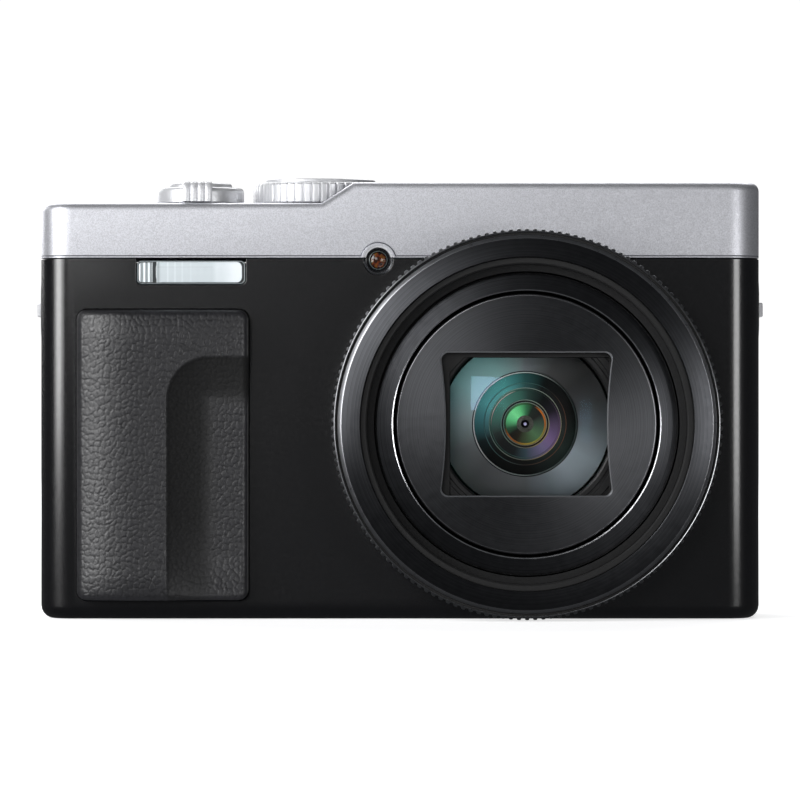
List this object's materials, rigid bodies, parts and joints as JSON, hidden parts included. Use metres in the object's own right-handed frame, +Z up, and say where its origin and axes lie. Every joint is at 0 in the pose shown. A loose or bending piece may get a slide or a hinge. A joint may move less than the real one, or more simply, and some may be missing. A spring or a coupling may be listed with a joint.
{
  "type": "compact digital camera",
  "caption": "Pocket digital camera with a silver top, black body, hand grip, extending zoom lens in a turning ring, flip-up screen and eye-level finder.",
  "frame": {"origin": "below the middle of the camera, on the surface it stands on", "axes": "+X to the right as the lens is faced, +Y away from the lens side towards the screen, +Z up"},
  "size_m": [0.112, 0.0416, 0.0672],
  "materials": {
    "body_black": "fine satin black paint",
    "cover_silver": "bead-blasted silver",
    "grip_rubber": "leather-grained black rubber",
    "clear_glass": "clear ribbed window",
    "bright_metal": "plain bright metal",
    "wrap_black": "moulded black plastic",
    "gloss_black": "semi-gloss black",
    "lamp_orange": "orange lamp under a clear dome",
    "lens_black": "circular turned, black anodised",
    "ring_metal": "dark anodised, turned and knurled",
    "leaf_black": "thin matt black leaf",
    "lens_glass": "coated optical glass",
    "board_green": "circuit board with solder mask",
    "socket_brass": "turned brass",
    "screen_glass": "dark bonded screen glass",
    "seal_rubber": "smooth soft black rubber",
    "dial_silver": "silver, fluted and spun",
    "record_red": "red gloss"
  },
  "bodies": {
    "camera_body": {"front_cover": "body_black", "rear_cover": "body_black", "top_cover": "cover_silver", "base_plate": "body_black", "grip_panel": "grip_rubber", "thumb_pad": "grip_rubber", "flash_window": "clear_glass", "flash_unit": "bright_metal", "flash_capacitor": "wrap_black", "lamp_bezel": "gloss_black", "lamp_lens": "lamp_orange", "strap_lugs": "bright_metal", "lens_mount_ring": "lens_black", "lens_tube": "lens_black", "focus_lens_group": "lens_glass", "sensor_mount": "bright_metal", "image_sensor": "board_green", "zoom_motor": "bright_metal", "main_board": "board_green", "top_board": "board_green", "chassis": "bright_metal", "screws": "bright_metal", "hinge_pins": "bright_metal", "tripod_socket": "socket_brass", "battery_bay": "wrap_black", "battery": "wrap_black", "memory_card": "wrap_black", "screen_bracket": "gloss_black", "finder_housing": "lens_black", "finder_eyepiece": "seal_rubber", "finder_lens": "lens_glass", "shutter_spring": "bright_metal"},
    "control_ring": {"control_ring": "ring_metal"},
    "outer_barrel": {"outer_barrel": "lens_black", "zoom_lens_group": "lens_glass"},
    "inner_barrel": {"inner_barrel": "lens_black", "barrier_plate": "lens_black", "front_lens_holder": "lens_black", "front_lens": "lens_glass"},
    "upper_leaf_1": {"upper_leaf_1": "leaf_black"},
    "upper_leaf_2": {"upper_leaf_2": "leaf_black"},
    "lower_leaf_1": {"lower_leaf_1": "leaf_black"},
    "lower_leaf_2": {"lower_leaf_2": "leaf_black"},
    "mode_dial": {"mode_dial": "dial_silver"},
    "shutter_button": {"shutter_button": "dial_silver"},
    "zoom_lever": {"zoom_lever": "dial_silver"},
    "power_button": {"power_button": "dial_silver"},
    "record_button": {"record_button": "record_red"},
    "rear_dial": {"rear_dial": "ring_metal"},
    "set_button": {"set_button": "gloss_black"},
    "play_button": {"play_button": "gloss_black"},
    "display_button": {"display_button": "gloss_black"},
    "menu_button": {"menu_button": "gloss_black"},
    "delete_button": {"delete_button": "gloss_black"},
    "diopter_dial": {"diopter_dial": "gloss_black"},
    "screen": {"screen_housing": "body_black", "screen_glass": "screen_glass"},
    "battery_door": {"battery_door": "body_black"},
    "door_latch": {"door_latch": "gloss_black"},
    "terminal_door": {"terminal_door": "seal_rubber"}
  },
  "joints": [
    {"name": "control_ring_turn", "type": "hinge", "parent": "camera_body", "child": "control_ring", "pos_m": [0.0191, 0, 0.02965], "axis": [0, -1, 0], "continuous": true},
    {"name": "outer_barrel_extend", "type": "slide", "parent": "camera_body", "child": "outer_barrel", "axis": [0, -1, 0], "range_m": [0, 0.011]},
    {"name": "inner_barrel_extend", "type": "slide", "parent": "outer_barrel", "child": "inner_barrel", "axis": [0, -1, 0], "range_m": [0, 0.0088]},
    {"name": "barrier_close", "type": "slide", "parent": "inner_barrel", "child": "upper_leaf_1", "axis": [0, 0, -1], "range_m": [0, 0.01105]},
    {"name": "upper_leaf_2_close", "type": "slide", "parent": "inner_barrel", "child": "upper_leaf_2", "axis": [0, 0, -1], "range_m": [0, 0.00595]},
    {"name": "lower_leaf_1_close", "type": "slide", "parent": "inner_barrel", "child": "lower_leaf_1", "axis": [0, 0, 1], "range_m": [0, 0.01105]},
    {"name": "lower_leaf_2_close", "type": "slide", "parent": "inner_barrel", "child": "lower_leaf_2", "axis": [0, 0, 1], "range_m": [0, 0.00595]},
    {"name": "mode_dial_turn", "type": "hinge", "parent": "camera_body", "child": "mode_dial", "pos_m": [-0.0128, 0.003, 0.065], "axis": [0, 0, 1], "continuous": true},
    {"name": "shutter_press", "type": "slide", "parent": "camera_body", "child": "shutter_button", "axis": [0, 0, -1], "range_m": [0, 0.0008], "stiffness_N_per_m": 300, "springref_m": -0.001, "deforming": ["shutter_spring"]},
    {"name": "zoom_lever_turn", "type": "hinge", "parent": "camera_body", "child": "zoom_lever", "pos_m": [-0.0309, 0, 0.064], "axis": [0, 0, 1], "range_deg": [-22, 22], "stiffness_Nm_per_rad": 0.02},
    {"name": "power_press", "type": "slide", "parent": "camera_body", "child": "power_button", "axis": [0, 0, -1], "range_m": [0, 0.0004], "stiffness_N_per_m": 300, "springref_m": -0.001},
    {"name": "record_press", "type": "slide", "parent": "camera_body", "child": "record_button", "axis": [0, 0, -1], "range_m": [0, 0.0004], "stiffness_N_per_m": 300, "springref_m": -0.001},
    {"name": "rear_dial_turn", "type": "hinge", "parent": "camera_body", "child": "rear_dial", "pos_m": [-0.0375, 0.017, 0.0212], "axis": [0, 1, 0], "continuous": true},
    {"name": "set_press", "type": "slide", "parent": "camera_body", "child": "set_button", "axis": [0, -1, 0], "range_m": [0, 0.00045], "stiffness_N_per_m": 300, "springref_m": -0.001},
    {"name": "play_press", "type": "slide", "parent": "camera_body", "child": "play_button", "axis": [0, -1, 0], "range_m": [0, 0.00045], "stiffness_N_per_m": 300, "springref_m": -0.001},
    {"name": "display_press", "type": "slide", "parent": "camera_body", "child": "display_button", "axis": [0, -1, 0], "range_m": [0, 0.00045], "stiffness_N_per_m": 300, "springref_m": -0.001},
    {"name": "menu_press", "type": "slide", "parent": "camera_body", "child": "menu_button", "axis": [0, -1, 0], "range_m": [0, 0.00045], "stiffness_N_per_m": 300, "springref_m": -0.001},
    {"name": "delete_press", "type": "slide", "parent": "camera_body", "child": "delete_button", "axis": [0, -1, 0], "range_m": [0, 0.00045], "stiffness_N_per_m": 300, "springref_m": -0.001},
    {"name": "diopter_turn", "type": "hinge", "parent": "camera_body", "child": "diopter_dial", "pos_m": [0.0245, 0.016, 0.061], "axis": [0, 1, 0], "range_deg": [-150, 150]},
    {"name": "screen_flip", "type": "hinge", "parent": "camera_body", "child": "screen", "pos_m": [0.0163, 0.019, 0.0529], "axis": [1, 0, 0], "range_deg": [0, 180]},
    {"name": "battery_door_open", "type": "hinge", "parent": "camera_body", "child": "battery_door", "pos_m": [-0.0158, 0.003, 0.0009], "axis": [0, -1, 0], "range_deg": [0, 100]},
    {"name": "door_latch_slide", "type": "slide", "parent": "battery_door", "child": "door_latch", "axis": [1, 0, 0], "range_m": [0, 0.0022]},
    {"name": "terminal_door_open", "type": "hinge", "parent": "camera_body", "child": "terminal_door", "pos_m": [0.05433, 0.01278, 0.0369], "axis": [0, 0, 1], "range_deg": [0, 90]}
  ],
  "couplings": [
    {"joint": "inner_barrel_extend", "follows": "outer_barrel_extend", "ratio": 0.8},
    {"joint": "upper_leaf_2_close", "follows": "barrier_close", "ratio": 0.534},
    {"joint": "lower_leaf_1_close", "follows": "barrier_close", "ratio": 1},
    {"joint": "lower_leaf_2_close", "follows": "barrier_close", "ratio": 0.534}
  ]
}
